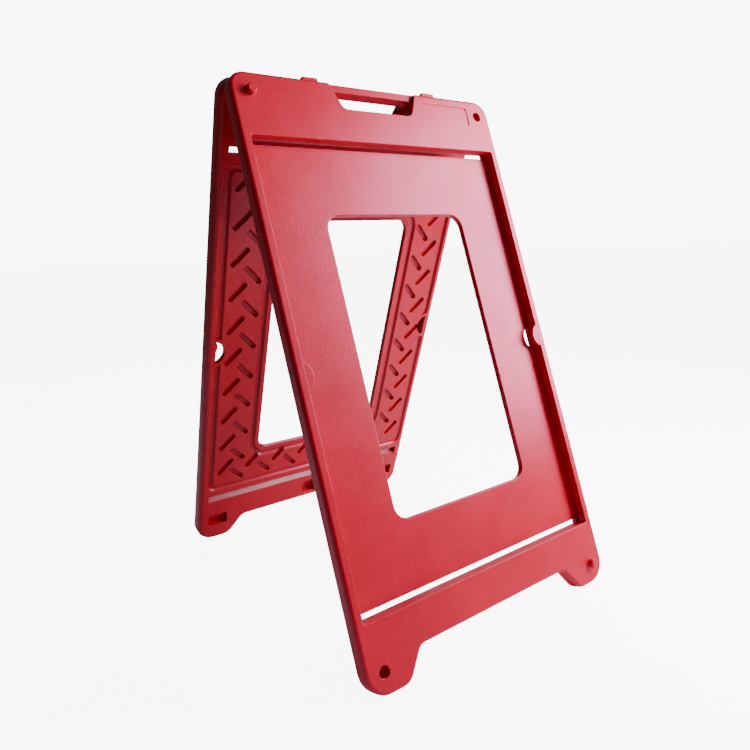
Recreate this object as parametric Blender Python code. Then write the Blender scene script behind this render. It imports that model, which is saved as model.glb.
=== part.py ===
"""Folding A-frame sign barricade: two identical blow-moulded panels joined by two hinge pins.

Metres, +Z up. X runs along the hinge and -Y is the front. A panel is built hanging straight down
from the hinge axis, which is its local X axis, with its inner face towards +Y. The assembly leans
one panel to the front and the same shape, turned round, to the rear.
"""

import math

import bmesh
import bpy
from mathutils import Matrix, Vector

# Panel envelope, measured from the hinge axis
PANEL_WIDTH = 0.660
PANEL_HEIGHT = 1.143
PANEL_THICK = 0.035
FOLDED_GAP = 0.0015
TOP_Z = 0.0194
BOTTOM_Z = TOP_Z - PANEL_HEIGHT
INNER_Y = -FOLDED_GAP / 2
OUTER_Y = INNER_Y - PANEL_THICK
HALF_WIDTH = PANEL_WIDTH / 2
OPEN_ANGLE = math.radians(39.2)
LEAN = OPEN_ANGLE / 2
STOP_CLEARANCE = 0.00015
PAST = 0.02  # how far a cutter runs past the face it opens

# Outline and rounded edges
TOP_CORNER_R = 0.036
FOOT_OUTER_R = 0.048
FOOT_INNER_X = 0.240
FOOT_INNER_R = 0.028
ARCH_X = 0.202
ARCH_Z = -1.0706
ARCH_R = 0.020
OUTER_EDGE_R = 0.008
INNER_EDGE_R = 0.011

# Sign recess, its window and the slots for the sheet
RECESS_HALF = 0.310
RECESS_TOP_Z = -0.1063
RECESS_BOTTOM_Z = -0.9951
RECESS_DEPTH = 0.022
RECESS_CORNER_R = 0.004
FLOOR_Y = OUTER_Y + RECESS_DEPTH
WINDOW_HALF = 0.1775
WINDOW_TOP_Z = -0.2526
WINDOW_BOTTOM_Z = -0.8536
WINDOW_R = 0.030
SHEET_SLACK = 0.007
TOP_SLOT_HIGH_Z = -0.1000
TOP_SLOT_LOW_Z = -0.1150
BOTTOM_SLOT_HIGH_Z = -0.9831
BOTTOM_SLOT_LIP_Z = -1.0045
BOTTOM_SLOT_MOUTH_Z = -0.9745
BOTTOM_SLOT_CHAMFER = 0.0025
SLOT_HALF = 0.306

# Tabs that hold the sheet in, and the core holes behind them
TAB_Z = -0.555
TAB_REACH = 0.0165
TAB_HALF_CHORD = 0.025
TAB_THICK = 0.008
TAB_ROOT = 0.008
TAB_SETBACK = 0.0004
CORE_WALL_X = RECESS_HALF - 0.0015
CORE_REACH = 0.0205
CORE_HALF_CHORD = 0.0272
CORE_ROOT = 0.0008
CORE_LAND = 0.008

# Stacking pegs and sockets near the corners
PEG_X = 0.291
PEG_TOP_Z = -0.0206
PEG_BOTTOM_Z = -1.0823
PEG_R = 0.0098
PEG_RISE = 0.012
PEG_ROOT = 0.004
PEG_CHAMFER = 0.0015
SOCKET_R = 0.011
SOCKET_DEPTH = 0.014

# Handle
HANDLE_TOP_HALF = 0.1125
HANDLE_BOTTOM_HALF = 0.088
HANDLE_BOTTOM_Z = -0.036
HANDLE_SHOULDER_R = 0.010
HANDLE_CORNER_R = 0.018
HANDLE_FLARE = 0.0125
HOLE_STEP = 0.001
BAR_SETBACK = 0.010
BAR_LOW_Z = 0.004
BAR_CORNER_R = 0.007

# Blank label panel
LABEL_X = 0.194
LABEL_Z = -0.0245
LABEL_SIZE = (0.134, 0.045)
LABEL_R = 0.007
LABEL_DEPTH = 0.0012

# Inner face: border groove, window groove, foot pockets, middle pocket
GROOVE_DEPTH = 0.0045
BORDER_OUTER = (0.313, -0.134, -0.957)
BORDER_WIDTH = 0.015
BORDER_R = 0.024
FRAME_INNER_HALF = 0.1905
FRAME_INNER_MARGIN = 0.0125
FRAME_INNER_R = 0.038
FRAME_OUTER_HALF = 0.2055
FRAME_OUTER_MARGIN = 0.0235
FRAME_OUTER_R = 0.046
FOOT_POCKET_X = 0.2775
FOOT_POCKET_Z = -1.0585
FOOT_POCKET_SIZE = (0.051, 0.034)
FOOT_POCKET_DEPTH = 0.016
MIDDLE_POCKET_Z = -1.033
MIDDLE_POCKET_SIZE = (0.043, 0.042)
MIDDLE_POCKET_DEPTH = 0.018
POCKET_R = 0.005

# Tread pattern of sunk capsules
CAPSULE_R = 0.0065
CAPSULE_DEPTH = 0.0085
TREAD_PITCH = 0.0807
TREAD_FIRST_Z = -0.1675
TREAD_ROWS = 9
OUTER_COLUMN_X = 0.2674
OUTER_HALF_SPAN = 0.0155
INNER_COLUMN_X = 0.2498
INNER_DROP = 0.0265
INNER_SPAN = 0.032
CLOSED_SPAN = 0.029
CORNER_Z = -0.8875
STRIP_FIRST_X = 0.2345
STRIP_PITCH = 0.0778
STRIP_COUNT = 6
STRIP_Z = -0.9155
STRIP_HALF_SPAN = 0.014
RISER_FIRST_X = 0.2080
RISER_Z = -0.900
RISER_SPAN = 0.027

# Hinge stations
HINGE_X = 0.1525
HOUSING_WIDTH = 0.037
HOUSING_RISE = 0.0055
HOUSING_TAPER = 0.002
HOUSING_ROOT = 0.016
HOUSING_EDGE = 0.002
KNUCKLE_R = 0.009
KNUCKLE_GAP = 0.0005
POCKET_CLEARANCE = 0.0008
PIN_R = 0.003
PIN_LENGTH = 0.0395
PIN_CHAMFER = 0.0006
BORE_R = 0.0032
CHANNEL_R = 0.0038
CHANNEL_ENDS = (0.090, 0.176)

QUARTER_STEPS = 5
ROUND_SIDES = 24
CAPSULE_STEPS = 4


def clear_scene():
    for obj in list(bpy.data.objects):
        bpy.data.objects.remove(obj, do_unlink=True)


def plain_material(name, colour, roughness, metallic):
    material = bpy.data.materials.new(name)
    material.use_nodes = True
    shader = material.node_tree.nodes["Principled BSDF"]
    shader.inputs["Base Color"].default_value = (*colour, 1.0)
    shader.inputs["Roughness"].default_value = roughness
    shader.inputs["Metallic"].default_value = metallic
    material.diffuse_color = (*colour, 1.0)
    return material


def rounded(corners):
    """A closed outline of (x, z) points from (x, z, radius) corners, each rounded by an arc."""
    outline = []
    for index, (x, z, radius) in enumerate(corners):
        here = Vector((x, z))
        if radius == 0:
            outline.append(here)
            continue
        back = (Vector(corners[index - 1][:2]) - here).normalized()
        ahead = (Vector(corners[(index + 1) % len(corners)][:2]) - here).normalized()
        half = back.angle(ahead) / 2
        centre = here + (back + ahead).normalized() * radius / math.sin(half)
        first = here + back * radius / math.tan(half) - centre
        turn = first.angle_signed(here + ahead * radius / math.tan(half) - centre)
        steps = max(2, round(QUARTER_STEPS * abs(turn) / (math.pi / 2)))
        for step in range(steps + 1):
            outline.append(centre + Matrix.Rotation(-turn * step / steps, 2) @ first)
    return outline


def rectangle(x, z, width, height, radius):
    left, right = x - width / 2, x + width / 2
    low, high = z - height / 2, z + height / 2
    corners = ((left, low), (right, low), (right, high), (left, high))
    return rounded([(*corner, radius) for corner in corners])


def circle(x, z, radius):
    turns = [2 * math.pi * side / ROUND_SIDES for side in range(ROUND_SIDES)]
    return [Vector((x + radius * math.cos(a), z + radius * math.sin(a))) for a in turns]


def capsule(start, end):
    """The outline of a stadium slot between two end centres."""
    along = math.atan2(end[1] - start[1], end[0] - start[0])
    outline = []
    for centre, first in ((end, along - math.pi / 2), (start, along + math.pi / 2)):
        for step in range(CAPSULE_STEPS + 1):
            angle = first + math.pi * step / CAPSULE_STEPS
            outline.append(Vector(centre) + CAPSULE_R * Vector((math.cos(angle), math.sin(angle))))
    return outline


def arc_radius(reach, half_chord):
    return (half_chord**2 + reach**2) / (2 * reach)


def half_round(side, wall_x, reach, half_chord, root):
    """A round-ended shape on one side rail, reaching inwards from wall_x, with a root behind it."""
    radius = arc_radius(reach, half_chord)
    centre_x = wall_x - reach + radius
    sweep = math.asin(half_chord / radius)
    steps = 2 * QUARTER_STEPS
    outline = [Vector((side * (wall_x + root), TAB_Z - half_chord))]
    for step in range(steps + 1):
        angle = math.pi + sweep - 2 * sweep * step / steps
        point_x = centre_x + radius * math.cos(angle)
        outline.append(Vector((side * point_x, TAB_Z + radius * math.sin(angle))))
    outline.append(Vector((side * (wall_x + root), TAB_Z + half_chord)))
    return outline


def inset(outline, distance):
    """The outline moved inwards by a distance, for an anticlockwise outline with no sharp notch."""
    moved = []
    for index, here in enumerate(outline):
        before = (here - outline[index - 1]).normalized()
        after = (outline[(index + 1) % len(outline)] - here).normalized()
        normal = Vector((-before.y - after.y, before.x + after.x)).normalized()
        moved.append(here + normal * distance / normal.dot(Vector((-after.y, after.x))))
    return moved


def prism(outline, y_start, y_end):
    """Two rings in space, which skin into a prism along Y."""
    return [[Vector((p.x, y, p.y)) for p in outline] for y in (y_start, y_end)]


def rod(radius, x_start, x_end):
    """Two rings about the hinge axis."""
    ring = circle(0, 0, radius)
    return [[Vector((x, p.x, p.y)) for p in ring] for x in (x_start, x_end)]


def skin(name, stacks):
    """One object from stacks of rings: each stack is closed by its own end caps."""
    mesh = bmesh.new()
    for rings in stacks:
        loops = [[mesh.verts.new(point) for point in ring] for ring in rings]
        mesh.faces.new(loops[0])
        mesh.faces.new(loops[-1])
        for low, high in zip(loops, loops[1:]):
            for index in range(len(low)):
                after = (index + 1) % len(low)
                mesh.faces.new((low[index], low[after], high[after], high[index]))
    bmesh.ops.recalc_face_normals(mesh, faces=mesh.faces)
    data = bpy.data.meshes.new(name)
    mesh.to_mesh(data)
    mesh.free()
    obj = bpy.data.objects.new(name, data)
    bpy.context.scene.collection.objects.link(obj)
    return obj


def apply_helper(target, operation, helper):
    """Adds an exact Boolean of a hidden helper to the target."""
    helper.hide_render = True
    helper.display_type = "WIRE"
    modifier = target.modifiers.new(helper.name, "BOOLEAN")
    modifier.operation = operation
    modifier.solver = "EXACT"
    modifier.use_self = True
    modifier.object = helper


def combine(target, operation, name, stacks):
    apply_helper(target, operation, skin(name, stacks))


def panel_outline():
    corners = [
        (-HALF_WIDTH, BOTTOM_Z, FOOT_OUTER_R),
        (-FOOT_INNER_X, BOTTOM_Z, FOOT_INNER_R),
        (-ARCH_X, ARCH_Z, ARCH_R),
        (ARCH_X, ARCH_Z, ARCH_R),
        (FOOT_INNER_X, BOTTOM_Z, FOOT_INNER_R),
        (HALF_WIDTH, BOTTOM_Z, FOOT_OUTER_R),
        (HALF_WIDTH, TOP_Z, TOP_CORNER_R),
        (-HALF_WIDTH, TOP_Z, TOP_CORNER_R),
    ]
    return rounded(corners)


def edge_levels():
    """(inset, y) through the panel's thickness: a small round outside and a larger one inside."""
    steps = 3
    levels = []
    for step in range(steps + 1):
        angle = math.pi / 2 * step / steps
        levels.append((OUTER_EDGE_R * (1 - math.sin(angle)), OUTER_Y + OUTER_EDGE_R * (1 - math.cos(angle))))
    for step in range(steps + 1):
        angle = math.pi / 2 * step / steps
        levels.append((INNER_EDGE_R * (1 - math.cos(angle)), INNER_Y - INNER_EDGE_R * (1 - math.sin(angle))))
    return levels


def make_blank():
    outline = panel_outline()
    rings = [[Vector((p.x, y, p.y)) for p in inset(outline, depth)] for depth, y in edge_levels()]
    return skin("panel_blank", [rings])


def cut_recess(panel):
    height = RECESS_TOP_Z - RECESS_BOTTOM_Z
    middle_z = (RECESS_TOP_Z + RECESS_BOTTOM_Z) / 2
    recess = rectangle(0, middle_z, 2 * RECESS_HALF, height, RECESS_CORNER_R)
    combine(panel, "DIFFERENCE", "recess", [prism(recess, OUTER_Y - PAST, FLOOR_Y)])
    window = rectangle(
        0,
        (WINDOW_TOP_Z + WINDOW_BOTTOM_Z) / 2,
        2 * WINDOW_HALF,
        WINDOW_TOP_Z - WINDOW_BOTTOM_Z,
        WINDOW_R,
    )
    combine(panel, "DIFFERENCE", "window", [prism(window, FLOOR_Y - PAST, INNER_Y + PAST)])


def cut_slots(panel):
    """The top slot runs up behind the rail; the bottom slot flares above and is chamfered below."""
    top = [
        (INNER_Y + PAST, TOP_SLOT_LOW_Z),
        (INNER_Y + PAST, TOP_SLOT_HIGH_Z),
        (FLOOR_Y - SHEET_SLACK, TOP_SLOT_HIGH_Z),
        (FLOOR_Y - SHEET_SLACK, TOP_SLOT_LOW_Z),
    ]
    run = (INNER_Y + PAST - FLOOR_Y) / (INNER_Y - FLOOR_Y)
    chamfer_low_z = 2 * BOTTOM_SLOT_LIP_Z - RECESS_BOTTOM_Z
    bottom = [
        (INNER_Y + PAST, chamfer_low_z),
        (INNER_Y + PAST, BOTTOM_SLOT_HIGH_Z + run * (BOTTOM_SLOT_MOUTH_Z - BOTTOM_SLOT_HIGH_Z)),
        (FLOOR_Y, BOTTOM_SLOT_HIGH_Z),
        (FLOOR_Y - SHEET_SLACK, BOTTOM_SLOT_HIGH_Z),
        (FLOOR_Y - SHEET_SLACK, RECESS_BOTTOM_Z),
        (INNER_Y - BOTTOM_SLOT_CHAMFER, RECESS_BOTTOM_Z),
        (INNER_Y + BOTTOM_SLOT_CHAMFER, chamfer_low_z),
    ]
    for name, profile in (("top_slot", top), ("bottom_slot", bottom)):
        rings = [[Vector((x, y, z)) for y, z in profile] for x in (-SLOT_HALF, SLOT_HALF)]
        combine(panel, "DIFFERENCE", name, [rings])


def cut_handle(panel):
    """A notch in the outer face leaves the hand bar set back, with a hole for the fingers below it."""
    slope = (HANDLE_TOP_HALF - HANDLE_BOTTOM_HALF) / (TOP_Z - HANDLE_BOTTOM_Z)
    bar_half = HANDLE_BOTTOM_HALF + slope * (BAR_LOW_Z - HANDLE_BOTTOM_Z)
    flare_x = HANDLE_TOP_HALF + HANDLE_FLARE
    notch = [
        (-HANDLE_BOTTOM_HALF, HANDLE_BOTTOM_Z, HANDLE_CORNER_R),
        (HANDLE_BOTTOM_HALF, HANDLE_BOTTOM_Z, HANDLE_CORNER_R),
        (HANDLE_TOP_HALF, TOP_Z, HANDLE_SHOULDER_R),
        (flare_x, TOP_Z + PEG_CHAMFER, 0),
        (flare_x, TOP_Z + PAST, 0),
        (-flare_x, TOP_Z + PAST, 0),
        (-flare_x, TOP_Z + PEG_CHAMFER, 0),
        (-HANDLE_TOP_HALF, TOP_Z, HANDLE_SHOULDER_R),
    ]
    hole_half = HANDLE_BOTTOM_HALF - HOLE_STEP
    hole = [
        (-hole_half, HANDLE_BOTTOM_Z + HOLE_STEP, HANDLE_CORNER_R),
        (hole_half, HANDLE_BOTTOM_Z + HOLE_STEP, HANDLE_CORNER_R),
        (bar_half - HOLE_STEP, BAR_LOW_Z, BAR_CORNER_R),
        (HOLE_STEP - bar_half, BAR_LOW_Z, BAR_CORNER_R),
    ]
    combine(panel, "DIFFERENCE", "notch", [prism(rounded(notch), OUTER_Y - PAST, OUTER_Y + BAR_SETBACK)])
    combine(panel, "DIFFERENCE", "hand_hole", [prism(rounded(hole), OUTER_Y - PAST, INNER_Y + PAST)])


def cut_label(panel):
    label = rectangle(LABEL_X, LABEL_Z, *LABEL_SIZE, LABEL_R)
    combine(panel, "DIFFERENCE", "label", [prism(label, OUTER_Y - PAST, OUTER_Y + LABEL_DEPTH)])


def add_tabs(panel):
    tabs = [half_round(side, RECESS_HALF, TAB_REACH, TAB_HALF_CHORD, TAB_ROOT) for side in (-1, 1)]
    tab_y = OUTER_Y + TAB_SETBACK
    combine(panel, "UNION", "tabs", [prism(tab, tab_y, tab_y + TAB_THICK) for tab in tabs])
    cores = [half_round(side, CORE_WALL_X, CORE_REACH, CORE_HALF_CHORD, CORE_ROOT) for side in (-1, 1)]
    stacks = [prism(core, FLOOR_Y - CORE_ROOT, INNER_Y + PAST) for core in cores]
    combine(panel, "DIFFERENCE", "tab_cores", stacks)


def add_pegs(panel):
    """Pegs on one diagonal and sockets on the other, so that stored stands lock together."""
    pegs, sockets = [], []
    for side, z in ((-1, PEG_TOP_Z), (1, PEG_BOTTOM_Z)):
        tip_y = OUTER_Y - PEG_RISE
        levels = ((PEG_R, OUTER_Y + PEG_ROOT), (PEG_R, tip_y + PEG_CHAMFER), (PEG_R - PEG_CHAMFER, tip_y))
        peg = [[Vector((p.x, y, p.y)) for p in circle(side * PEG_X, z, radius)] for radius, y in levels]
        pegs.append(peg)
        socket = circle(-side * PEG_X, z, SOCKET_R)
        sockets.append(prism(socket, OUTER_Y - PAST, OUTER_Y + SOCKET_DEPTH))
    combine(panel, "UNION", "pegs", pegs)
    combine(panel, "DIFFERENCE", "sockets", sockets)


def ring_groove(name, outer, inner):
    """A closed groove cutter between two outlines, as an outer block with an inner block taken out."""
    block = skin(name, [prism(outer, INNER_Y - GROOVE_DEPTH, INNER_Y + PAST)])
    core = prism(inner, INNER_Y - 2 * GROOVE_DEPTH, INNER_Y + 2 * PAST)
    combine(block, "DIFFERENCE", name + "_core", [core])
    return block


def cut_grooves(panel):
    half, high_z, low_z = BORDER_OUTER
    middle_z, height = (high_z + low_z) / 2, high_z - low_z
    outer = rectangle(0, middle_z, 2 * half, height, BORDER_R)
    inner = inset(outer, BORDER_WIDTH)
    border = ring_groove("border_groove", outer, inner)
    core_r = arc_radius(CORE_REACH, CORE_HALF_CHORD)
    land_x = CORE_WALL_X - CORE_REACH + core_r
    lands = [circle(side * land_x, TAB_Z, core_r + CORE_LAND) for side in (-1, 1)]
    land_stacks = [prism(land, INNER_Y - 2 * GROOVE_DEPTH, INNER_Y + 2 * PAST) for land in lands]
    combine(border, "DIFFERENCE", "groove_lands", land_stacks)

    middle_z = (WINDOW_TOP_Z + WINDOW_BOTTOM_Z) / 2
    height = WINDOW_TOP_Z - WINDOW_BOTTOM_Z
    inner_height, outer_height = height + 2 * FRAME_INNER_MARGIN, height + 2 * FRAME_OUTER_MARGIN
    inner = rectangle(0, middle_z, 2 * FRAME_INNER_HALF, inner_height, FRAME_INNER_R)
    outer = rectangle(0, middle_z, 2 * FRAME_OUTER_HALF, outer_height, FRAME_OUTER_R)
    frame = ring_groove("window_groove", outer, inner)
    for cutter in (border, frame):
        apply_helper(panel, "DIFFERENCE", cutter)


def diagonal(x, z, span_x, span_z):
    """End centres of a capsule from a start point."""
    return ((x, z), (x + span_x, z + span_z))


def column_capsules():
    """End centres of the sunk capsules in the two columns on the right."""
    ends = []
    for z in [TREAD_FIRST_Z - row * TREAD_PITCH for row in range(TREAD_ROWS)] + [CORNER_Z]:
        x, span = OUTER_COLUMN_X - OUTER_HALF_SPAN, 2 * OUTER_HALF_SPAN
        ends.append(diagonal(x, z + OUTER_HALF_SPAN, span, -span))
    for row in range(TREAD_ROWS):
        z = TREAD_FIRST_Z - row * TREAD_PITCH - INNER_DROP
        span = CLOSED_SPAN if row == TREAD_ROWS - 1 else INNER_SPAN
        ends.append(diagonal(INNER_COLUMN_X, z, -span, -span))
    return ends


def strip_capsules():
    """End centres of the sunk capsules in the strip below the window, from the right."""
    ends = []
    for column in range(STRIP_COUNT):
        shift, span = column * STRIP_PITCH, 2 * STRIP_HALF_SPAN
        x, z = STRIP_FIRST_X - shift + STRIP_HALF_SPAN, STRIP_Z + STRIP_HALF_SPAN
        ends.append(diagonal(x, z, -span, -span))
        if column < STRIP_COUNT - 1:
            ends.append(diagonal(RISER_FIRST_X - shift, RISER_Z, -RISER_SPAN, RISER_SPAN))
    return ends


def turned(capsules, twice_z):
    """The same capsules turned half round, about the middle of the panel and half of twice_z."""
    return [tuple((-x, twice_z - z) for x, z in ends) for ends in capsules]


def tread_capsules():
    """All the tread: the strip above the window leaves out the mark that would meet a column."""
    columns, strip = column_capsules(), strip_capsules()
    rows_twice_z = 2 * TREAD_FIRST_Z - TREAD_ROWS * TREAD_PITCH
    window_twice_z = WINDOW_TOP_Z + WINDOW_BOTTOM_Z
    return columns + turned(columns, rows_twice_z) + strip + turned(strip[1:], window_twice_z)


def cut_tread(panel):
    outlines = [capsule(start, end) for start, end in tread_capsules()]
    stacks = [prism(outline, INNER_Y - CAPSULE_DEPTH, INNER_Y + PAST) for outline in outlines]
    combine(panel, "DIFFERENCE", "tread", stacks)


def cut_inner_pockets(panel):
    stacks = []
    for side in (-1, 1):
        pocket = rectangle(side * FOOT_POCKET_X, FOOT_POCKET_Z, *FOOT_POCKET_SIZE, POCKET_R)
        stacks.append(prism(pocket, INNER_Y - FOOT_POCKET_DEPTH, INNER_Y + PAST))
    pocket = rectangle(0, MIDDLE_POCKET_Z, *MIDDLE_POCKET_SIZE, POCKET_R)
    stacks.append(prism(pocket, INNER_Y - MIDDLE_POCKET_DEPTH, INNER_Y + PAST))
    combine(panel, "DIFFERENCE", "inner_pockets", stacks)


def knuckle_spans(side):
    """(own, facing) spans along X: the left station is a fork and the right one is its tongue."""
    third = HOUSING_WIDTH / 3
    start = side * HINGE_X - HOUSING_WIDTH / 2
    thirds = [(start + index * third, start + (index + 1) * third) for index in range(3)]
    fork, tongue = [thirds[0], thirds[2]], [thirds[1]]
    return (fork, tongue) if side < 0 else (tongue, fork)


def add_housings(panel):
    """The top edge rises over each hinge station to give the knuckles enough wall."""
    stacks = []
    for side in (-1, 1):
        x, half = side * HINGE_X, HOUSING_WIDTH / 2
        outline = [
            Vector((x - half, TOP_Z - HOUSING_ROOT)),
            Vector((x + half, TOP_Z - HOUSING_ROOT)),
            Vector((x + half, TOP_Z)),
            Vector((x + half - HOUSING_TAPER, TOP_Z + HOUSING_RISE)),
            Vector((x - half + HOUSING_TAPER, TOP_Z + HOUSING_RISE)),
            Vector((x - half, TOP_Z)),
        ]
        levels = (
            (HOUSING_EDGE, OUTER_Y + HOUSING_EDGE),
            (0, OUTER_Y + 2 * HOUSING_EDGE),
            (0, INNER_Y - HOUSING_EDGE / 2),
        )
        rings = [[Vector((p.x, y, p.y)) for p in inset(outline, depth)] for depth, y in levels]
        stacks.append(rings)
    combine(panel, "UNION", "housings", stacks)


def make_hinge_half(panel):
    """Above the axis the inner face slopes back, so that the two panels meet there when open."""
    slope = math.tan(LEAN)
    start_y = -STOP_CLEARANCE / math.cos(LEAN)
    reach = TOP_Z + PAST
    wedge = [(start_y, 0), (start_y - slope * reach, reach), (PAST, reach), (PAST, 0)]
    rings = [[Vector((x, y, z)) for y, z in wedge] for x in (-PANEL_WIDTH, PANEL_WIDTH)]
    combine(panel, "DIFFERENCE", "open_stop", [rings])

    channels = [rod(CHANNEL_R, side * CHANNEL_ENDS[0], side * CHANNEL_ENDS[1]) for side in (-1, 1)]
    combine(panel, "DIFFERENCE", "pin_channels", channels)
    own, facing = [], []
    for side in (-1, 1):
        own_spans, facing_spans = knuckle_spans(side)
        own += [rod(KNUCKLE_R, a + KNUCKLE_GAP, b - KNUCKLE_GAP) for a, b in own_spans]
        radius = KNUCKLE_R + POCKET_CLEARANCE
        facing += [rod(radius, a - KNUCKLE_GAP / 2, b + KNUCKLE_GAP / 2) for a, b in facing_spans]
    combine(panel, "DIFFERENCE", "knuckle_pockets", facing)
    combine(panel, "UNION", "knuckles", own)
    bore_half = HOUSING_WIDTH / 2 + KNUCKLE_GAP
    bores = [rod(BORE_R, side * HINGE_X - bore_half, side * HINGE_X + bore_half) for side in (-1, 1)]
    combine(panel, "DIFFERENCE", "bores", bores)


def shade_smooth_by_angle(mesh, degrees):
    mesh.polygons.foreach_set("use_smooth", [True] * len(mesh.polygons))
    mesh.set_sharp_from_angle(angle=math.radians(degrees))


def panel_mesh():
    """The finished panel shape, with its Booleans applied and its helpers removed."""
    panel = make_blank()
    add_housings(panel)
    cut_recess(panel)
    cut_slots(panel)
    cut_handle(panel)
    cut_label(panel)
    make_hinge_half(panel)
    add_tabs(panel)
    add_pegs(panel)
    cut_grooves(panel)
    cut_tread(panel)
    cut_inner_pockets(panel)
    graph = bpy.context.evaluated_depsgraph_get()
    mesh = bpy.data.meshes.new_from_object(panel.evaluated_get(graph))
    clear_scene()
    shade_smooth_by_angle(mesh, 35)
    return mesh


def hinge_height():
    """How high the axis stands when the feet rest on the ground."""
    drops = [-y * math.sin(LEAN) + (BOTTOM_Z + depth) * math.cos(LEAN) for depth, y in edge_levels()]
    return -min(drops)


def place_panel(name, mesh, material, axis, turn):
    mesh.name = name
    mesh.materials.clear()
    mesh.materials.append(material)
    panel = bpy.data.objects.new(name, mesh)
    bpy.context.scene.collection.objects.link(panel)
    panel.parent = axis
    panel.rotation_euler = (-LEAN, 0, turn)
    return panel


def make_pin(name, side, material, axis):
    half = PIN_LENGTH / 2
    levels = (
        (PIN_R - PIN_CHAMFER, -half),
        (PIN_R, PIN_CHAMFER - half),
        (PIN_R, half - PIN_CHAMFER),
        (PIN_R - PIN_CHAMFER, half),
    )
    rings = [[Vector((x, p.x, p.y)) for p in circle(0, 0, radius)] for radius, x in levels]
    pin = skin(name, [rings])
    pin.data.materials.append(material)
    shade_smooth_by_angle(pin.data, 35)
    pin.parent = axis
    pin.location.x = side * HINGE_X
    return pin


def main():
    clear_scene()
    shape = panel_mesh()
    axis = bpy.data.objects.new("hinge_axis", None)
    axis.location.z = hinge_height()
    bpy.context.scene.collection.objects.link(axis)
    front_plastic = plain_material("front_panel_hdpe", (0.52, 0.025, 0.035), 0.38, 0.0)
    rear_plastic = plain_material("rear_panel_hdpe", (0.50, 0.022, 0.032), 0.38, 0.0)
    pin_steel = plain_material("pin_steel", (0.62, 0.62, 0.64), 0.30, 1.0)
    place_panel("front_panel", shape, front_plastic, axis, 0.0)
    place_panel("rear_panel", shape.copy(), rear_plastic, axis, math.pi)
    make_pin("hinge_pin_left", -1, pin_steel, axis)
    make_pin("hinge_pin_right", 1, pin_steel, axis)


main()
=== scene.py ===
import math

import bmesh
import bpy
from mathutils import Matrix, Vector


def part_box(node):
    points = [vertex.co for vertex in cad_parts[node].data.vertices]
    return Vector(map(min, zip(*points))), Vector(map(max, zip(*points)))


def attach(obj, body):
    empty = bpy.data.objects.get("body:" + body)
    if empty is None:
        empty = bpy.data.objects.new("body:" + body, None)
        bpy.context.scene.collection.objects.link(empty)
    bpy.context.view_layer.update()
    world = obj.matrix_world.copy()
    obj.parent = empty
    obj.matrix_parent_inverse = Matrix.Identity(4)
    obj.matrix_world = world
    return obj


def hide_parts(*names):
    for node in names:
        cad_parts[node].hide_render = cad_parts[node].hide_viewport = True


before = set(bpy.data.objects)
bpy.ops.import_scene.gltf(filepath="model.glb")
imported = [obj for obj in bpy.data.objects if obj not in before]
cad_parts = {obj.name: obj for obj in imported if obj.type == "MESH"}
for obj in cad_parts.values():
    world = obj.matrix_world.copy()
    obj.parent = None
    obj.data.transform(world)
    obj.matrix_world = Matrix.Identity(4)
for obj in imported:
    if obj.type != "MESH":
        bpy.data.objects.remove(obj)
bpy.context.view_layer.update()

# ---------------------------------------------------------------------------------------------
# The panel moulding. Both sides of the stand come out of one blow mould: a flat double-walled
# shell of red high-density polyethylene with generous rounds where the plastic was stretched.
# ---------------------------------------------------------------------------------------------
half_width = 0.330
top_z = 0.0194
bottom_z = -1.1236
inner_y = -0.00075
outer_y = -0.03575
past = 0.02  # how far a cutter runs past the face it opens
arc_steps = 10  # per quarter turn


def rounded(corners):
    """An outline of (x, z) points from (x, z, radius) corners."""
    outline = []
    for index, (x, z, radius) in enumerate(corners):
        here = Vector((x, z))
        if radius == 0:
            outline.append(here)
            continue
        back = (Vector(corners[index - 1][:2]) - here).normalized()
        ahead = (Vector(corners[(index + 1) % len(corners)][:2]) - here).normalized()
        half = back.angle(ahead) / 2
        centre = here + (back + ahead).normalized() * radius / math.sin(half)
        first = here + back * radius / math.tan(half) - centre
        turn = first.angle_signed(here + ahead * radius / math.tan(half) - centre)
        steps = max(2, round(arc_steps * abs(turn) / (math.pi / 2)))
        for step in range(steps + 1):
            outline.append(centre + Matrix.Rotation(-turn * step / steps, 2) @ first)
    return outline


def rectangle(x, z, width, height, radius):
    corners = [(-1, -1), (1, -1), (1, 1), (-1, 1)]
    return rounded([(x + a * width / 2, z + b * height / 2, radius) for a, b in corners])


def circle(x, z, radius, sides=40):
    turns = [2 * math.pi * side / sides for side in range(sides)]
    return [Vector((x + radius * math.cos(a), z + radius * math.sin(a))) for a in turns]


def inset(outline, distance):
    """The outline moved inwards, or outwards for a negative distance."""
    moved = []
    for index, here in enumerate(outline):
        before = (here - outline[index - 1]).normalized()
        after = (outline[(index + 1) % len(outline)] - here).normalized()
        normal = Vector((-before.y - after.y, before.x + after.x)).normalized()
        moved.append(here + normal * distance / normal.dot(Vector((-after.y, after.x))))
    return moved


def rings(outline, levels):
    """The outline at each (inset, y) level."""
    return [[Vector((p.x, y, p.y)) for p in inset(outline, d)] for d, y in levels]


def skin(name, stacks):
    """A closed body from each stack of rings."""
    mesh = bmesh.new()
    for stack in stacks:
        loops = [[mesh.verts.new(point) for point in ring] for ring in stack]
        mesh.faces.new(loops[0])
        mesh.faces.new(loops[-1])
        for low, high in zip(loops, loops[1:]):
            for index in range(len(low)):
                after = (index + 1) % len(low)
                mesh.faces.new((low[index], low[after], high[after], high[index]))
    bmesh.ops.recalc_face_normals(mesh, faces=mesh.faces)
    data = bpy.data.meshes.new(name)
    mesh.to_mesh(data)
    mesh.free()
    obj = bpy.data.objects.new(name, data)
    bpy.context.scene.collection.objects.link(obj)
    return obj


cutters = []


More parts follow.
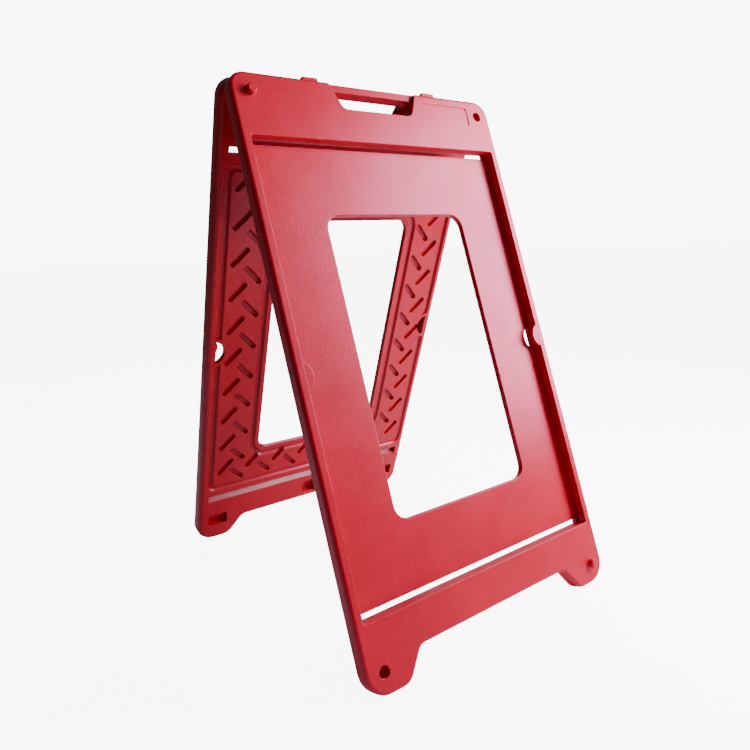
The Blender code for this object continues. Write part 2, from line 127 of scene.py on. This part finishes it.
def combine(target, operation, name, stacks):
    """Joins the stacks to the target, or takes them away."""
    helper = stacks if isinstance(stacks, bpy.types.Object) else skin(name, stacks)
    cutters.append(helper)
    modifier = target.modifiers.new(name, "BOOLEAN")
    modifier.operation = operation
    modifier.solver = "EXACT"
    modifier.use_self = True
    modifier.object = helper


def mouth(face_y, floor_y, lip, fillet, draft=0.0, steps=4):
    """Levels of a cutter that sinks from a face to a floor: a rolled lip, a drafted wall and a
    filleted floor. A negative inset is wider than the outline."""
    way = 1 if floor_y > face_y else -1
    levels = [(-lip, face_y - way * past)]
    for step in range(steps + 1):
        turn = math.pi / 2 * step / steps
        levels.append((-lip * (1 - math.sin(turn)), face_y + way * lip * (1 - math.cos(turn))))
    for step in range(steps + 1):
        turn = math.pi / 2 * step / steps
        levels.append((draft + fillet * (1 - math.cos(turn)), floor_y - way * fillet * (1 - math.sin(turn))))
    return levels


foot_x, foot_radius, foot_inner_radius = 0.240, 0.048, 0.028
arch_x, arch_z, arch_radius = 0.202, -1.0706, 0.020
top_radius = 0.036
corners = [
    (-half_width, bottom_z, foot_radius),
    (-foot_x, bottom_z, foot_inner_radius),
    (-arch_x, arch_z, arch_radius),
    (arch_x, arch_z, arch_radius),
    (foot_x, bottom_z, foot_inner_radius),
    (half_width, bottom_z, foot_radius),
    (half_width, top_z, top_radius),
    (-half_width, top_z, top_radius),
]
outer_edge, inner_edge, edge_steps = 0.008, 0.011, 6
edge = []
for step in range(edge_steps + 1):
    turn = math.pi / 2 * step / edge_steps
    edge.append((outer_edge * (1 - math.sin(turn)), outer_y + outer_edge * (1 - math.cos(turn))))
for step in range(edge_steps + 1):
    turn = math.pi / 2 * step / edge_steps
    edge.append((inner_edge * (1 - math.cos(turn)), inner_y - inner_edge * (1 - math.sin(turn))))
panel = skin("panel_moulding", [rings(rounded(corners), edge)])

# ---------------------------------------------------------------------------------------------
# The two hinge housings on the top edge, in the same plastic as the panel. The mould lets it
# rise a little over each set of knuckles, to give them enough wall.
# ---------------------------------------------------------------------------------------------
hinge_x = 0.1525
housing_width = 0.037
housing_root, housing_rise, housing_radius, housing_taper = 0.016, 0.0055, 0.003, 0.0005
housings = []
for side in (-1, 1):
    left, right = side * hinge_x - housing_width / 2, side * hinge_x + housing_width / 2
    outline = rounded(
        [
            (left, top_z - housing_root, 0),
            (right, top_z - housing_root, 0),
            (right - housing_taper, top_z + housing_rise, housing_radius),
            (left + housing_taper, top_z + housing_rise, housing_radius),
        ]
    )
    levels = [(0.002, outer_y + 0.002), (0.0006, outer_y + 0.0026), (0, outer_y + 0.004)]
    housings.append(rings(outline, levels + [(0, inner_y - 0.001)]))
combine(panel, "UNION", "housings", housings)

# ---------------------------------------------------------------------------------------------
# The sign recess, 22 mm deep with a rolled lip, and the open window in the middle of its floor.
# The window's wall has a ridge half way through, where the two halves of the mould met.
# ---------------------------------------------------------------------------------------------
recess_half = 0.310
recess_top = -0.1063
recess_bottom = -0.9951
recess_radius = 0.0045
floor_y = outer_y + 0.022
recess_middle, recess_height = (recess_top + recess_bottom) / 2, recess_top - recess_bottom
recess = rectangle(0, recess_middle, 2 * recess_half, recess_height, recess_radius)
recess_levels = mouth(outer_y, floor_y, lip=0.0016, fillet=0.0012, draft=0.0004)
combine(panel, "DIFFERENCE", "recess", [rings(recess, recess_levels)])

window_half = 0.1775
window_top = -0.2526
window_bottom = -0.8536
window_radius = 0.030
window_middle, window_height = (window_top + window_bottom) / 2, window_top - window_bottom
window = rectangle(0, window_middle, 2 * window_half, window_height, window_radius)
lip, lip_steps = 0.0022, 5
ridge, ridge_half = 0.0007, 0.0003
middle_y = (floor_y + inner_y) / 2
levels = [(-lip, floor_y - past)]
for step in range(lip_steps + 1):
    turn = math.pi / 2 * step / lip_steps
    levels.append((-lip * (1 - math.sin(turn)), floor_y + lip * (1 - math.cos(turn))))
levels.append((ridge, middle_y - ridge_half))
levels.append((ridge, middle_y + ridge_half))
for step in range(lip_steps + 1):
    turn = math.pi / 2 * (1 - step / lip_steps)
    levels.append((-lip * (1 - math.sin(turn)), inner_y - lip * (1 - math.cos(turn))))
levels.append((-lip, inner_y + past))
combine(panel, "DIFFERENCE", "window", [rings(window, levels)])

# ---------------------------------------------------------------------------------------------
# The slots that the sheet slides into. They were trimmed open after moulding, so their edges
# are crisp. The top one runs up behind the rail and the bottom one drains water to the inside.
# ---------------------------------------------------------------------------------------------
slot_half = 0.306
slack_y = floor_y - 0.007  # room for the sheet in front of the floor
top_high, top_low = -0.1000, -0.1150
web_edge, flare = -0.9831, 0.0086  # lower edge of the web, and how far it flares up inside
chamfer_depth, chamfer_drop = 0.0025, 0.0188
run = (inner_y + past - floor_y) / (inner_y - floor_y)
top_slot = [(inner_y + past, top_low), (inner_y + past, top_high), (slack_y, top_high), (slack_y, top_low)]
bottom_slot = [
    (inner_y + past, recess_bottom - chamfer_drop),
    (inner_y + past, web_edge + run * flare),
    (floor_y, web_edge),
    (slack_y, web_edge),
    (slack_y, recess_bottom),
    (inner_y - chamfer_depth, recess_bottom),
    (inner_y + chamfer_depth, recess_bottom - chamfer_drop),
]
for name, profile in (("top_slot", top_slot), ("bottom_slot", bottom_slot)):
    ends = [[Vector((x, y, z)) for y, z in profile] for x in (-slot_half, slot_half)]
    combine(panel, "DIFFERENCE", name, [ends])

# ---------------------------------------------------------------------------------------------
# The handle, moulded in one with the panel: a notch in the outer face that leaves the hand bar
# set back, and the hole for the fingers under it, with a softened edge on the inner face.
# ---------------------------------------------------------------------------------------------
notch_half, notch_top_half, notch_bottom, notch_radius = 0.088, 0.1125, -0.036, 0.018
shoulder_radius, shoulder_x, shoulder_z = 0.010, 0.125, top_z + 0.0015
notch = [
    (-notch_half, notch_bottom, notch_radius),
    (notch_half, notch_bottom, notch_radius),
    (notch_top_half, top_z, shoulder_radius),
    (shoulder_x, shoulder_z, 0),
    (shoulder_x, top_z + past, 0),
    (-shoulder_x, top_z + past, 0),
    (-shoulder_x, shoulder_z, 0),
    (-notch_top_half, top_z, shoulder_radius),
]
bar_y = outer_y + 0.010
notch_levels = mouth(outer_y, bar_y, lip=0.0022, fillet=0.0015)
combine(panel, "DIFFERENCE", "notch", [rings(rounded(notch), notch_levels)])
hole_half, hole_top_half, hole_bottom, bar_low = 0.087, 0.1047, -0.035, 0.004
bar_radius, grip_edge, grip_soft = 0.007, 0.003, 0.0009
hole = [
    (-hole_half, hole_bottom, notch_radius),
    (hole_half, hole_bottom, notch_radius),
    (hole_top_half, bar_low, bar_radius),
    (-hole_top_half, bar_low, bar_radius),
]
levels = [(0, outer_y - past), (0, bar_y), (0, inner_y - grip_edge), (-grip_soft, inner_y - grip_soft)]
levels += [(-grip_edge, inner_y), (-grip_edge, inner_y + past)]
combine(panel, "DIFFERENCE", "hand_hole", [rings(rounded(hole), levels)])

# ---------------------------------------------------------------------------------------------
# The label panel beside the handle: a shallow blank rectangle with round corners, sunk into the
# outer face by the mould, where an owner can stick a label.
# ---------------------------------------------------------------------------------------------
label_x, label_z, label_width, label_height, label_radius = 0.194, -0.0245, 0.134, 0.045, 0.007
label = rectangle(label_x, label_z, label_width, label_height, label_radius)
label_levels = mouth(outer_y, outer_y + 0.0018, lip=0.0003, fillet=0.0004, steps=3)
combine(panel, "DIFFERENCE", "label", [rings(label, label_levels)])

# ---------------------------------------------------------------------------------------------
# The hinge halves: three knuckles at each station, a fork on the left and its tongue on the
# right, so that two equal panels mesh. Above the axis the faces slope back and meet when open.
# ---------------------------------------------------------------------------------------------
lean = math.radians(19.6)
third = housing_width / 3


def rod(radius, start, end, soft=0.0):
    """Rings about the hinge axis, with softened ends."""
    levels = [(radius - soft, start), (radius, start + soft), (radius, end - soft), (radius - soft, end)]
    levels = levels if soft else [(radius, start), (radius, end)]
    return [[Vector((x, p.x, p.y)) for p in circle(0, 0, r, 48)] for r, x in levels]


stop_clearance, wedge_height, wedge_half = 0.00015, 0.04, 0.4
start_y = -stop_clearance / math.cos(lean)
wedge_y = start_y - math.tan(lean) * wedge_height
wedge = [(start_y, 0), (wedge_y, wedge_height), (past, wedge_height), (past, 0)]
wedge_ends = [[Vector((x, y, z)) for y, z in wedge] for x in (-wedge_half, wedge_half)]
combine(panel, "DIFFERENCE", "open_stop", [wedge_ends])
channel_radius, channel_start, channel_end = 0.0038, 0.090, 0.176
channels = [rod(channel_radius, side * channel_start, side * channel_end) for side in (-1, 1)]
combine(panel, "DIFFERENCE", "pin_channels", channels)
knuckle_radius, knuckle_gap, knuckle_soft, pocket_radius = 0.009, 0.0005, 0.0006, 0.0098
own, facing = [], []
for side in (-1, 1):
    first = side * hinge_x - housing_width / 2
    spans = [(first + index * third, first + (index + 1) * third) for index in range(3)]
    fork, tongue = (spans[0], spans[2]), (spans[1],)
    mine, other = (fork, tongue) if side < 0 else (tongue, fork)
    own += [rod(knuckle_radius, a + knuckle_gap, b - knuckle_gap, knuckle_soft) for a, b in mine]
    facing += [rod(pocket_radius, a - knuckle_gap / 2, b + knuckle_gap / 2) for a, b in other]
combine(panel, "DIFFERENCE", "knuckle_pockets", facing)
combine(panel, "UNION", "knuckles", own)
bore_radius, bore_half = 0.0032, 0.019
bores = [rod(bore_radius, side * hinge_x - bore_half, side * hinge_x + bore_half) for side in (-1, 1)]
combine(panel, "DIFFERENCE", "bores", bores)

# ---------------------------------------------------------------------------------------------
# The half-round tabs half way down each side rail. They hold the sheet in, and the mould's cores
# that formed them left a half-round hole through the floor behind each one.
# ---------------------------------------------------------------------------------------------
tab_z = -0.555
tab_steps = 24


def half_round(side, wall_x, reach, half_chord, root):
    radius = (half_chord**2 + reach**2) / (2 * reach)
    centre_x = wall_x - reach + radius
    sweep = math.asin(half_chord / radius)
    points = [(wall_x + root, tab_z - half_chord)]
    for step in range(tab_steps + 1):
        angle = math.pi + sweep - 2 * sweep * step / tab_steps
        points.append((centre_x + radius * math.cos(angle), tab_z + radius * math.sin(angle)))
    points.append((wall_x + root, tab_z + half_chord))
    outline = [Vector((side * x, z)) for x, z in points]
    return outline if side < 0 else outline[::-1]


tab_y = outer_y + 0.0004
levels = [(0.0022, tab_y), (0.0008, tab_y + 0.0005), (0.0002, tab_y + 0.0014), (0, tab_y + 0.0025)]
levels += [(0, tab_y + 0.0065), (0.0006, tab_y + 0.0075), (0.0016, tab_y + 0.008)]
tab_reach, tab_chord, tab_root = 0.0165, 0.025, 0.008
tabs = [half_round(side, recess_half, tab_reach, tab_chord, tab_root) for side in (-1, 1)]
combine(panel, "UNION", "tabs", [rings(tab, levels) for tab in tabs])
core_wall, core_reach, core_chord, core_root = recess_half - 0.0015, 0.0205, 0.0272, 0.0008
cores = [half_round(side, core_wall, core_reach, core_chord, core_root) for side in (-1, 1)]
levels = [(-0.0008, floor_y - 0.0008), (-0.0006, floor_y), (0, floor_y + 0.0012), (0, inner_y - 0.0012)]
levels += [(-0.0012, inner_y), (-0.0012, inner_y + past)]
combine(panel, "DIFFERENCE", "tab_cores", [rings(core, levels) for core in cores])

# ---------------------------------------------------------------------------------------------
# The stacking pegs on one diagonal of the outer face and the blind sockets for them on the
# other, all formed by the mould, so that stored stands lock together face to face.
# ---------------------------------------------------------------------------------------------
peg_levels = [(0.0098, outer_y + 0.004), (0.0113, outer_y + 0.0002), (0.0103, outer_y - 0.0006)]
peg_levels += [(0.0098, outer_y - 0.0018), (0.0094, outer_y - 0.0092), (0.0091, outer_y - 0.0106)]
peg_levels += [(0.0083, outer_y - 0.0116), (0.0072, outer_y - 0.0120)]
peg_x, peg_top, peg_bottom = 0.291, -0.0206, -1.0823
socket_radius = 0.0108
socket_levels = mouth(outer_y, outer_y + 0.014, lip=0.0012, fillet=0.0015)
pegs, sockets = [], []
for side, z in ((-1, peg_top), (1, peg_bottom)):
    pegs.append([[Vector((p.x, y, p.y)) for p in circle(side * peg_x, z, r)] for r, y in peg_levels])
    sockets.append(rings(circle(-side * peg_x, z, socket_radius), socket_levels))
combine(panel, "UNION", "pegs", pegs)
combine(panel, "DIFFERENCE", "sockets", sockets)

# ---------------------------------------------------------------------------------------------
# The inner face's grooves, which press the two walls together: one round the border and one
# round the window. The border groove stops at the holes behind the tabs.
# ---------------------------------------------------------------------------------------------
groove_depth = 0.0055
groove_width = 0.015


def groove(name, outer, inner):
    """A closed groove between two outlines, with drafted walls."""
    levels = [(-0.0016, inner_y + past), (-0.0016, inner_y), (-0.0004, inner_y - 0.0011)]
    levels += [(0.0014, inner_y - groove_depth + 0.0012), (0.0030, inner_y - groove_depth)]
    core = [(-d, y) for d, y in levels]
    core = [(core[0][0], inner_y + 2 * past)] + core[1:] + [(core[-1][0], inner_y - 2 * groove_depth)]
    block = skin(name, [rings(outer, levels)])
    combine(block, "DIFFERENCE", name + "_core", [rings(inner, core)])
    return block


border_top, border_bottom, border_width, border_radius = -0.134, -0.957, 0.626, 0.024
border_middle, border_height = (border_top + border_bottom) / 2, -border_bottom + border_top
border = rectangle(0, border_middle, border_width, border_height, border_radius)
border_groove = groove("border_groove", border, inset(border, groove_width))
core_r = (core_chord**2 + core_reach**2) / (2 * core_reach)
land_width = 0.008
land_x = recess_half - 0.0220 + core_r
lands = [circle(side * land_x, tab_z, core_r + land_width) for side in (-1, 1)]
land_levels = [(0, inner_y + 2 * past), (0, inner_y - 2 * groove_depth)]
combine(border_groove, "DIFFERENCE", "lands", [rings(land, land_levels) for land in lands])
outer_width, outer_margin, outer_radius = 0.411, 0.047, 0.046
inner_width, inner_margin, inner_radius = 0.381, 0.025, 0.038
frame_outer = rectangle(0, window_middle, outer_width, window_height + outer_margin, outer_radius)
frame_inner = rectangle(0, window_middle, inner_width, window_height + inner_margin, inner_radius)
window_groove = groove("window_groove", frame_outer, frame_inner)
combine(panel, "DIFFERENCE", "border_groove", border_groove)
combine(panel, "DIFFERENCE", "window_groove", window_groove)

# ---------------------------------------------------------------------------------------------
# The tread pattern of sunk capsules between the grooves. They tie the inner wall to the outer
# one, in two slanting rows up each side and one across the top and the bottom.
# ---------------------------------------------------------------------------------------------
capsule_r = 0.0065
end_steps = 8


def capsule(start, end):
    along = math.atan2(end[1] - start[1], end[0] - start[0])
    outline = []
    for centre, first in ((end, along - math.pi / 2), (start, along + math.pi / 2)):
        for step in range(end_steps + 1):
            angle = first + math.pi * step / end_steps
            outline.append(Vector(centre) + capsule_r * Vector((math.cos(angle), math.sin(angle))))
    return outline


def diagonal(x, z, span_x, span_z):
    return ((x, z), (x + span_x, z + span_z))


def turned(ends, twice_z):
    """The same marks turned half round."""
    return [tuple((-x, twice_z - z) for x, z in pair) for pair in ends]


columns = []
first_row_z, corner_z, first_inner_z = -0.1675, -0.8875, -0.194
row_pitch, outer_x, outer_span, inner_x, inner_span = 0.0807, 0.2519, 0.031, 0.2498, 0.032
for row in range(10):
    z = corner_z if row == 9 else first_row_z - row_pitch * row
    columns.append(diagonal(outer_x, z + outer_span / 2, outer_span, -outer_span))
for row in range(9):
    span = 0.029 if row == 8 else inner_span
    columns.append(diagonal(inner_x, first_inner_z - row_pitch * row, -span, -span))
strip = []
strip_x, strip_pitch, strip_z, strip_span = 0.2485, 0.0778, -0.9015, 0.028
riser_shift, riser_z, riser_span = 0.0405, -0.900, 0.027
for column in range(6):
    x = strip_x - strip_pitch * column
    strip.append(diagonal(x, strip_z, -strip_span, -strip_span))
    if column < 5:
        strip.append(diagonal(x - riser_shift, riser_z, -riser_span, riser_span))
rows_turn = -1.0613  # twice the height that the side columns are turned about
marks = columns + turned(columns, rows_turn) + strip + turned(strip[1:], window_top + window_bottom)
capsule_levels = mouth(inner_y, inner_y - 0.0088, lip=0.0011, fillet=0.0032, draft=0.0006, steps=3)
combine(panel, "DIFFERENCE", "tread", [rings(capsule(a, b), capsule_levels) for a, b in marks])

# ---------------------------------------------------------------------------------------------
# The blind pockets on the inner side of each foot and in the middle of the bottom rail. They are
# moulded in, each as (x, z, width, height, depth), and tie the two walls together there.
# ---------------------------------------------------------------------------------------------
pocket_corner = 0.005
pockets = [(side * 0.2775, -1.0585, 0.051, 0.034, 0.016) for side in (-1, 1)]
pockets.append((0, -1.033, 0.043, 0.042, 0.018))
for index, (x, z, width, height, depth) in enumerate(pockets):
    levels = mouth(inner_y, inner_y - depth, lip=0.0015, fillet=0.002, draft=0.0008)
    outline = rectangle(x, z, width, height, pocket_corner)
    combine(panel, "DIFFERENCE", f"pocket_{index}", [rings(outline, levels)])

# ---------------------------------------------------------------------------------------------
# The two panels, each a copy of the moulding in satin red polyethylene: one leans to the front
# and one, turned half round, to the rear. They are joined only by the hinge pins.
# ---------------------------------------------------------------------------------------------
graph = bpy.context.evaluated_depsgraph_get()
moulding = bpy.data.meshes.new_from_object(panel.evaluated_get(graph))
for helper in cutters + [panel]:
    bpy.data.objects.remove(helper)
moulding.polygons.foreach_set("use_smooth", [True] * len(moulding.polygons))
moulding.set_sharp_from_angle(angle=math.radians(32))
pin_low, pin_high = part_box("hinge_pin_left")
axis_z = (pin_low.z + pin_high.z) / 2


def plastic(name, colour):
    """Satin polyethylene: fine orange peel, slow waves from shrinkage, and a slightly uneven sheen."""
    material = bpy.data.materials.new(name)
    material.use_nodes = True
    nodes, links = material.node_tree.nodes, material.node_tree.links
    shader = nodes["Principled BSDF"]
    place = nodes.new("ShaderNodeTexCoord")

    def noise(scale, detail, roughness=0.5):
        node = nodes.new("ShaderNodeTexNoise")
        node.inputs["Scale"].default_value = scale
        node.inputs["Detail"].default_value = detail
        node.inputs["Roughness"].default_value = roughness
        links.new(place.outputs["Object"], node.inputs["Vector"])
        return node.outputs["Fac"]

    def ramp(source, low, high, first, last):
        node = nodes.new("ShaderNodeMapRange")
        node.inputs["From Min"].default_value = low
        node.inputs["From Max"].default_value = high
        node.inputs["To Min"].default_value = first
        node.inputs["To Max"].default_value = last
        links.new(source, node.inputs["Value"])
        return node.outputs["Result"]

    cloud = noise(4.0, 4)
    tint = nodes.new("ShaderNodeMix")
    tint.data_type = "RGBA"
    tint.inputs["A"].default_value = (*(0.9 * c for c in colour), 1)
    tint.inputs["B"].default_value = (*(1.08 * c for c in colour), 1)
    links.new(ramp(cloud, 0.3, 0.7, 0, 1), tint.inputs["Factor"])
    links.new(tint.outputs["Result"], shader.inputs["Base Color"])
    links.new(ramp(noise(16, 3), 0.3, 0.7, 0.33, 0.38), shader.inputs["Roughness"])
    waves = nodes.new("ShaderNodeBump")
    waves.inputs["Strength"].default_value = 0.25
    waves.inputs["Distance"].default_value = 0.004
    links.new(noise(7, 2), waves.inputs["Height"])
    peel = nodes.new("ShaderNodeBump")
    peel.inputs["Strength"].default_value = 0.4
    peel.inputs["Distance"].default_value = 0.0008
    links.new(noise(260, 4, 0.65), peel.inputs["Height"])
    links.new(waves.outputs["Normal"], peel.inputs["Normal"])
    links.new(peel.outputs["Normal"], shader.inputs["Normal"])
    shader.inputs["Specular IOR Level"].default_value = 0.42
    return material


for name, mesh, turn, colour in (
    ("front", moulding, 0.0, (0.42, 0.001, 0.018)),
    # The rear's darker red is painted shade: the same plastic as the front, made darker because it faces
    # away from the light.
    ("rear", moulding.copy(), math.pi, (0.33, 0.001, 0.007)),
):
    mesh.name = name + "_panel_moulding"
    mesh.materials.clear()
    mesh.materials.append(plastic(name + "_red_polyethylene", colour))
    side = bpy.data.objects.new(name + "_panel_shell", mesh)
    bpy.context.scene.collection.objects.link(side)
    side.location = (0, 0, axis_z)
    side.rotation_euler = (-lean, 0, turn)
    weighted = side.modifiers.new("even_shading", "WEIGHTED_NORMAL")
    weighted.keep_sharp = True
    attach(side, name)
    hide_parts(name + "_panel")

# ---------------------------------------------------------------------------------------------
# The hinge pins: short lengths of drawn steel with rounded ends, pushed through the knuckles
# along the channels beside them. They hold the two panels together.
# ---------------------------------------------------------------------------------------------
steel = bpy.data.materials.new("drawn_steel")
steel.use_nodes = True
nodes, links = steel.node_tree.nodes, steel.node_tree.links
shader = nodes["Principled BSDF"]
shader.inputs["Metallic"].default_value = 1.0
place = nodes.new("ShaderNodeTexCoord")
stretch = nodes.new("ShaderNodeMapping")
stretch.inputs["Scale"].default_value = (30, 2500, 2500)
grain = nodes.new("ShaderNodeTexNoise")
links.new(place.outputs["Object"], stretch.inputs["Vector"])
links.new(stretch.outputs["Vector"], grain.inputs["Vector"])
shade = nodes.new("ShaderNodeMix")
shade.data_type = "RGBA"
shade.inputs["A"].default_value = (0.40, 0.40, 0.41, 1)
shade.inputs["B"].default_value = (0.66, 0.66, 0.67, 1)
links.new(grain.outputs["Fac"], shade.inputs["Factor"])
links.new(shade.outputs["Result"], shader.inputs["Base Color"])
rough = nodes.new("ShaderNodeMapRange")
rough.inputs["To Min"].default_value = 0.22
rough.inputs["To Max"].default_value = 0.42
links.new(grain.outputs["Fac"], rough.inputs["Value"])
links.new(rough.outputs["Result"], shader.inputs["Roughness"])
for name, side in (("left", -1), ("right", 1)):
    levels = [(0.0018, -0.01975), (0.0026, -0.0194), (0.003, -0.0187)]
    levels += [(r, -x) for r, x in reversed(levels)]
    pin = skin("steel_pin_" + name, [[[Vector((x, p.x, p.y)) for p in circle(0, 0, r)] for r, x in levels]])
    pin.data.polygons.foreach_set("use_smooth", [True] * len(pin.data.polygons))
    pin.data.set_sharp_from_angle(angle=math.radians(50))
    pin.data.materials.append(steel)
    pin.location = (side * hinge_x, 0, axis_z)
    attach(pin, "front")
    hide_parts("hinge_pin_" + name)

# ---------------------------------------------------------------------------------------------
# A pale studio floor and a pale surround. Both look bright when seen directly and light the
# plastic only weakly, the left side least. The light comes from a tall pink soft box on the
# right, a weak one in front and a small cool one above and behind.
# ---------------------------------------------------------------------------------------------
floor_mesh = bpy.data.meshes.new("studio_floor")
floor_mesh.from_pydata([(-40, -40, 0), (40, -40, 0), (40, 40, 0), (-40, 40, 0)], [], [(0, 1, 2, 3)])
studio = bpy.data.objects.new("studio_floor", floor_mesh)
bpy.context.scene.collection.objects.link(studio)
studio.location.z = -0.0005
paper = bpy.data.materials.new("pale_paper")
paper.use_nodes = True
nodes, links = paper.node_tree.nodes, paper.node_tree.links
place = nodes.new("ShaderNodeTexCoord")
fibre = nodes.new("ShaderNodeTexNoise")
fibre.inputs["Scale"].default_value = 60
links.new(place.outputs["Object"], fibre.inputs["Vector"])
tone = nodes.new("ShaderNodeMix")
tone.data_type = "RGBA"
tone.inputs["A"].default_value = (0.80, 0.80, 0.80, 1)
tone.inputs["B"].default_value = (0.84, 0.84, 0.84, 1)
links.new(fibre.outputs["Fac"], tone.inputs["Factor"])
links.new(tone.outputs["Result"], nodes["Principled BSDF"].inputs["Base Color"])
nodes["Principled BSDF"].inputs["Roughness"].default_value = 0.9
nodes["Principled BSDF"].inputs["Emission Color"].default_value = (1, 1, 1, 1)
glow = nodes.new("ShaderNodeMath")
glow.operation = "MULTIPLY"
glow.inputs[1].default_value = 8.0
links.new(nodes.new("ShaderNodeLightPath").outputs["Is Camera Ray"], glow.inputs[0])
links.new(glow.outputs["Value"], nodes["Principled BSDF"].inputs["Emission Strength"])
floor_mesh.materials.append(paper)

world = bpy.data.worlds.new("studio")
bpy.context.scene.world = world
world.use_nodes = True
nodes, links = world.node_tree.nodes, world.node_tree.links
place = nodes.new("ShaderNodeTexCoord")
split = nodes.new("ShaderNodeSeparateXYZ")
links.new(place.outputs["Generated"], split.inputs["Vector"])
across = nodes.new("ShaderNodeMapRange")
across.inputs["From Min"].default_value = -0.9
across.inputs["From Max"].default_value = 0.9
across.inputs["To Min"].default_value = 0.03
across.inputs["To Max"].default_value = 0.22
links.new(split.outputs["X"], across.inputs["Value"])
bright = nodes.new("ShaderNodeMix")
bright.inputs["B"].default_value = 9.0
links.new(nodes.new("ShaderNodeLightPath").outputs["Is Camera Ray"], bright.inputs["Factor"])
links.new(across.outputs["Result"], bright.inputs["A"])
links.new(bright.outputs["Result"], nodes["Background"].inputs["Strength"])
nodes["Background"].inputs["Color"].default_value = (1, 1, 1, 1)


def soft_box(name, place, aim, size, power, colour):
    light = bpy.data.lights.new(name, "AREA")
    light.color = colour
    light.shape = "RECTANGLE"
    light.size, light.size_y = size
    light.energy = power
    lamp = bpy.data.objects.new(name, light)
    bpy.context.scene.collection.objects.link(lamp)
    lamp.location = place
    lamp.rotation_euler = (Vector(aim) - Vector(place)).to_track_quat("-Z", "Y").to_euler()


soft_box("tall_box", (1.42, -1.02, 1.32), (0.28, -0.18, 0.66), (0.7, 1.5), 125, (1.0, 0.46, 0.74))
soft_box("front_box", (0.6, -3.4, 2.4), (0, -0.2, 0.5), (1.6, 1.6), 8, (1.0, 0.80, 0.88))
soft_box("rear_box", (0.95, 1.1, 1.75), (-0.15, 0.34, 0.13), (0.9, 0.7), 34, (0.88, 0.84, 1.0))

# ---------------------------------------------------------------------------------------------
# The camera, standing to the left of the front and a little below the top of the stand.
# ---------------------------------------------------------------------------------------------
camera_data = bpy.data.cameras.new("camera")
camera = bpy.data.objects.new("camera", camera_data)
bpy.context.scene.collection.objects.link(camera)
camera_data.lens, camera_data.sensor_width = 30.25, 36
yaw, pitch, roll = 0.6290, -0.2111, -0.0343
look = Vector((math.sin(yaw) * math.cos(pitch), math.cos(yaw) * math.cos(pitch), math.sin(pitch)))
right = Vector((math.cos(yaw), -math.sin(yaw), 0))
up = right.cross(look)
right, up = right * math.cos(roll) + up * math.sin(roll), up * math.cos(roll) - right * math.sin(roll)
camera.matrix_world = Matrix((right, up, -look)).transposed().to_4x4()
camera.location = (-0.849, -1.165, axis_z - 0.2825)
camera_data.clip_start, camera_data.clip_end = 0.05, 200
bpy.context.scene.camera = camera
